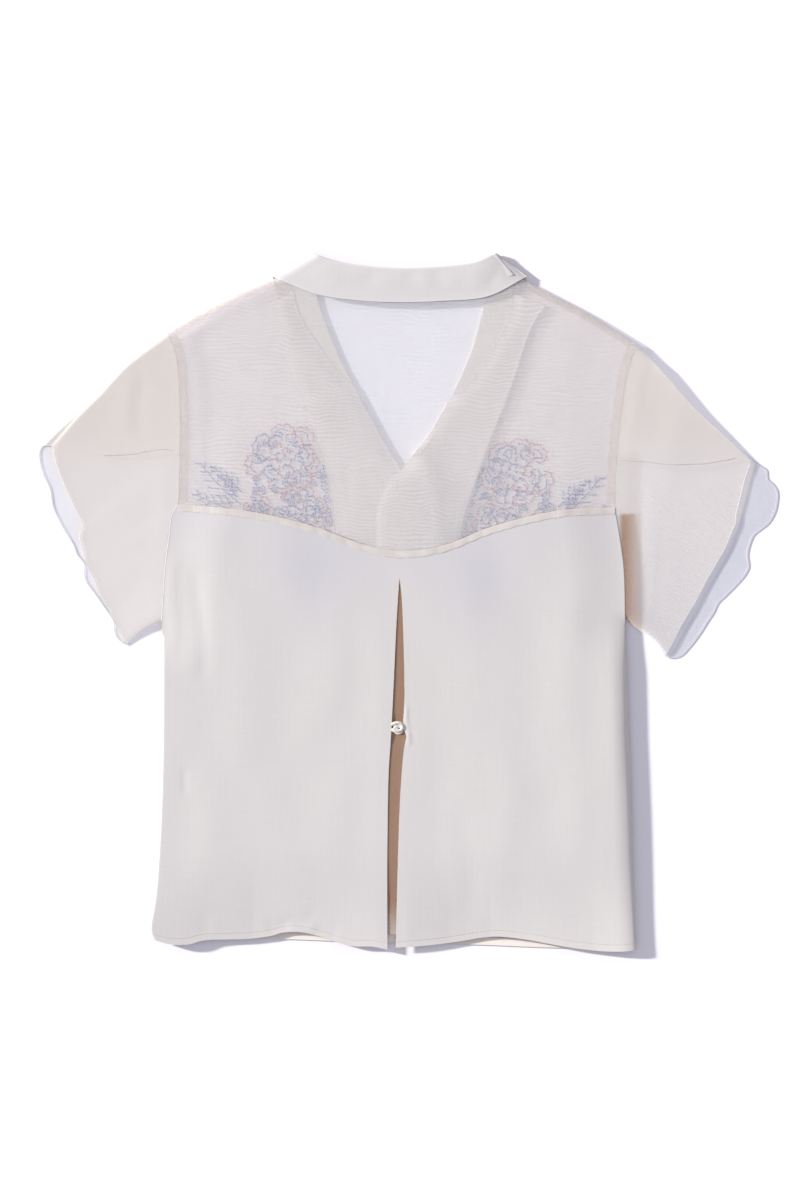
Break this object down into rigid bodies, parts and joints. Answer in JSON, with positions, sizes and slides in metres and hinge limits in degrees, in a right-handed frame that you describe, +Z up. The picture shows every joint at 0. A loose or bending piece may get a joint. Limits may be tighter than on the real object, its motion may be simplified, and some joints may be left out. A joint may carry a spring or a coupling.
{
  "type": "hawaiian shirt",
  "caption": "Short-sleeved camp-collar shirt laid flat, back up: sheer organza yoke, sleeves and fronts, and a silk lower back with a centre slit closed by a loop and button.",
  "frame": {"origin": "on the surface it lies on, under the centre of its box", "axes": "+X to the right of someone looking down at the back, +Y from the hem to the neck, +Z up; the wearer's left is -X"},
  "size_m": [0.7158, 0.6754, 0.0118],
  "materials": {
    "organza": "sheer plain-woven organza, ivory, soft sheen",
    "facing": "organza folded double, ivory, with a wavy moire",
    "silk": "crepe silk, ivory, low sheen",
    "seam": "seam allowance, several layers of ivory cloth",
    "cord": "covered silk cord",
    "pearl": "white pearly button, polished"
  },
  "bodies": {
    "root": {"front_left": "organza", "front_right": "organza", "facing_left": "facing", "facing_right": "facing", "back_yoke": "organza", "back_left": "silk", "back_right": "silk", "yoke_seam": "seam", "armhole_seam_left": "seam", "armhole_seam_right": "seam", "shoulder_seam_left": "seam", "shoulder_seam_right": "seam", "collar": "silk", "sleeve_left": "organza", "sleeve_right": "organza", "back_button": "pearl", "back_loop": "cord", "front_button_1": "pearl", "front_button_2": "pearl", "front_button_3": "pearl", "front_button_4": "pearl"}
  },
  "joints": []
}
